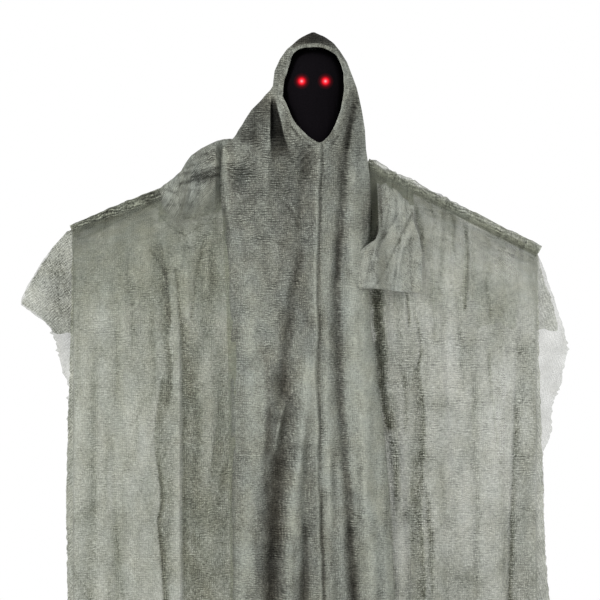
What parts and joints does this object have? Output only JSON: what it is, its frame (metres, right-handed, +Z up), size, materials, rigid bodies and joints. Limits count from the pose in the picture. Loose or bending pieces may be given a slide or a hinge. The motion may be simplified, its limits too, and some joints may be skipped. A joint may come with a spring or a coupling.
{
  "type": "hanging ghost decoration",
  "caption": "Hooded gauze robe hung from an eye, spread over folding arms, with a black cloth face and lit red eyes.",
  "frame": {"origin": "inner top of the hanging eye, where a hook or cord bears", "axes": "+Z up, the ghost's front faces -Y, +X is to the viewer's right"},
  "size_m": [1.2258, 0.2052, 1.7999],
  "materials": {
    "gauze": "matte",
    "black_knit": "matte",
    "red_lens": "gloss",
    "black_plastic": "satin",
    "grey_plastic": "satin",
    "steel": "satin",
    "lead_sleeve": "satin",
    "board_green": "satin",
    "cell_jacket": "satin"
  },
  "bodies": {
    "root": {"hang_eye": "steel", "crown_washer": "steel", "crown_nut": "steel", "head_shell_front": "grey_plastic", "head_shell_rear": "grey_plastic", "head_screw_left": "steel", "head_screw_right": "steel", "eye_led_left": "red_lens", "eye_led_right": "red_lens", "led_ring_left": "black_plastic", "led_ring_right": "black_plastic", "led_lead_left": "lead_sleeve", "led_lead_right": "lead_sleeve", "neck_tube": "black_plastic", "neck_screw": "steel", "yoke_front": "black_plastic", "yoke_rear": "black_plastic", "pivot_bolt_left": "steel", "pivot_bolt_right": "steel", "pivot_nut_left": "steel", "pivot_nut_right": "steel", "battery_box": "black_plastic", "box_screw_upper": "steel", "box_screw_lower": "steel", "battery_left": "cell_jacket", "battery_right": "cell_jacket", "contact_upper": "steel", "contact_lower": "steel", "switch_body": "steel", "circuit_board": "board_green", "face_cover": "black_knit", "hood": "gauze", "hood_hem": "gauze", "gown_front": "gauze", "gown_back": "gauze", "wing_front_left": "gauze", "wing_back_left": "gauze", "wing_front_right": "gauze", "wing_back_right": "gauze", "shoulder_bundle_left": "gauze", "shoulder_flap_right": "gauze"},
    "arm_left": {"arm_lug_left": "black_plastic", "arm_tube_left": "black_plastic", "arm_cap_left": "black_plastic"},
    "arm_right": {"arm_lug_right": "black_plastic", "arm_tube_right": "black_plastic", "arm_cap_right": "black_plastic"},
    "cover": {"battery_cover": "black_plastic"},
    "knob": {"switch_knob": "grey_plastic"}
  },
  "joints": [
    {"name": "arm_left_fold", "type": "hinge", "parent": "root", "child": "arm_left", "pos_m": [-0.066, 0, -0.2704], "axis": [0, -1, 0], "range_deg": [0, 64]},
    {"name": "arm_right_fold", "type": "hinge", "parent": "root", "child": "arm_right", "pos_m": [0.066, 0, -0.2704], "axis": [0, 1, 0], "range_deg": [0, 57]},
    {"name": "battery_cover_slide", "type": "slide", "parent": "root", "child": "cover", "axis": [0, 0, -1], "range_m": [0, 0.035]},
    {"name": "switch_slide", "type": "slide", "parent": "root", "child": "knob", "axis": [-1, 0, 0], "range_m": [0, 0.004]}
  ]
}
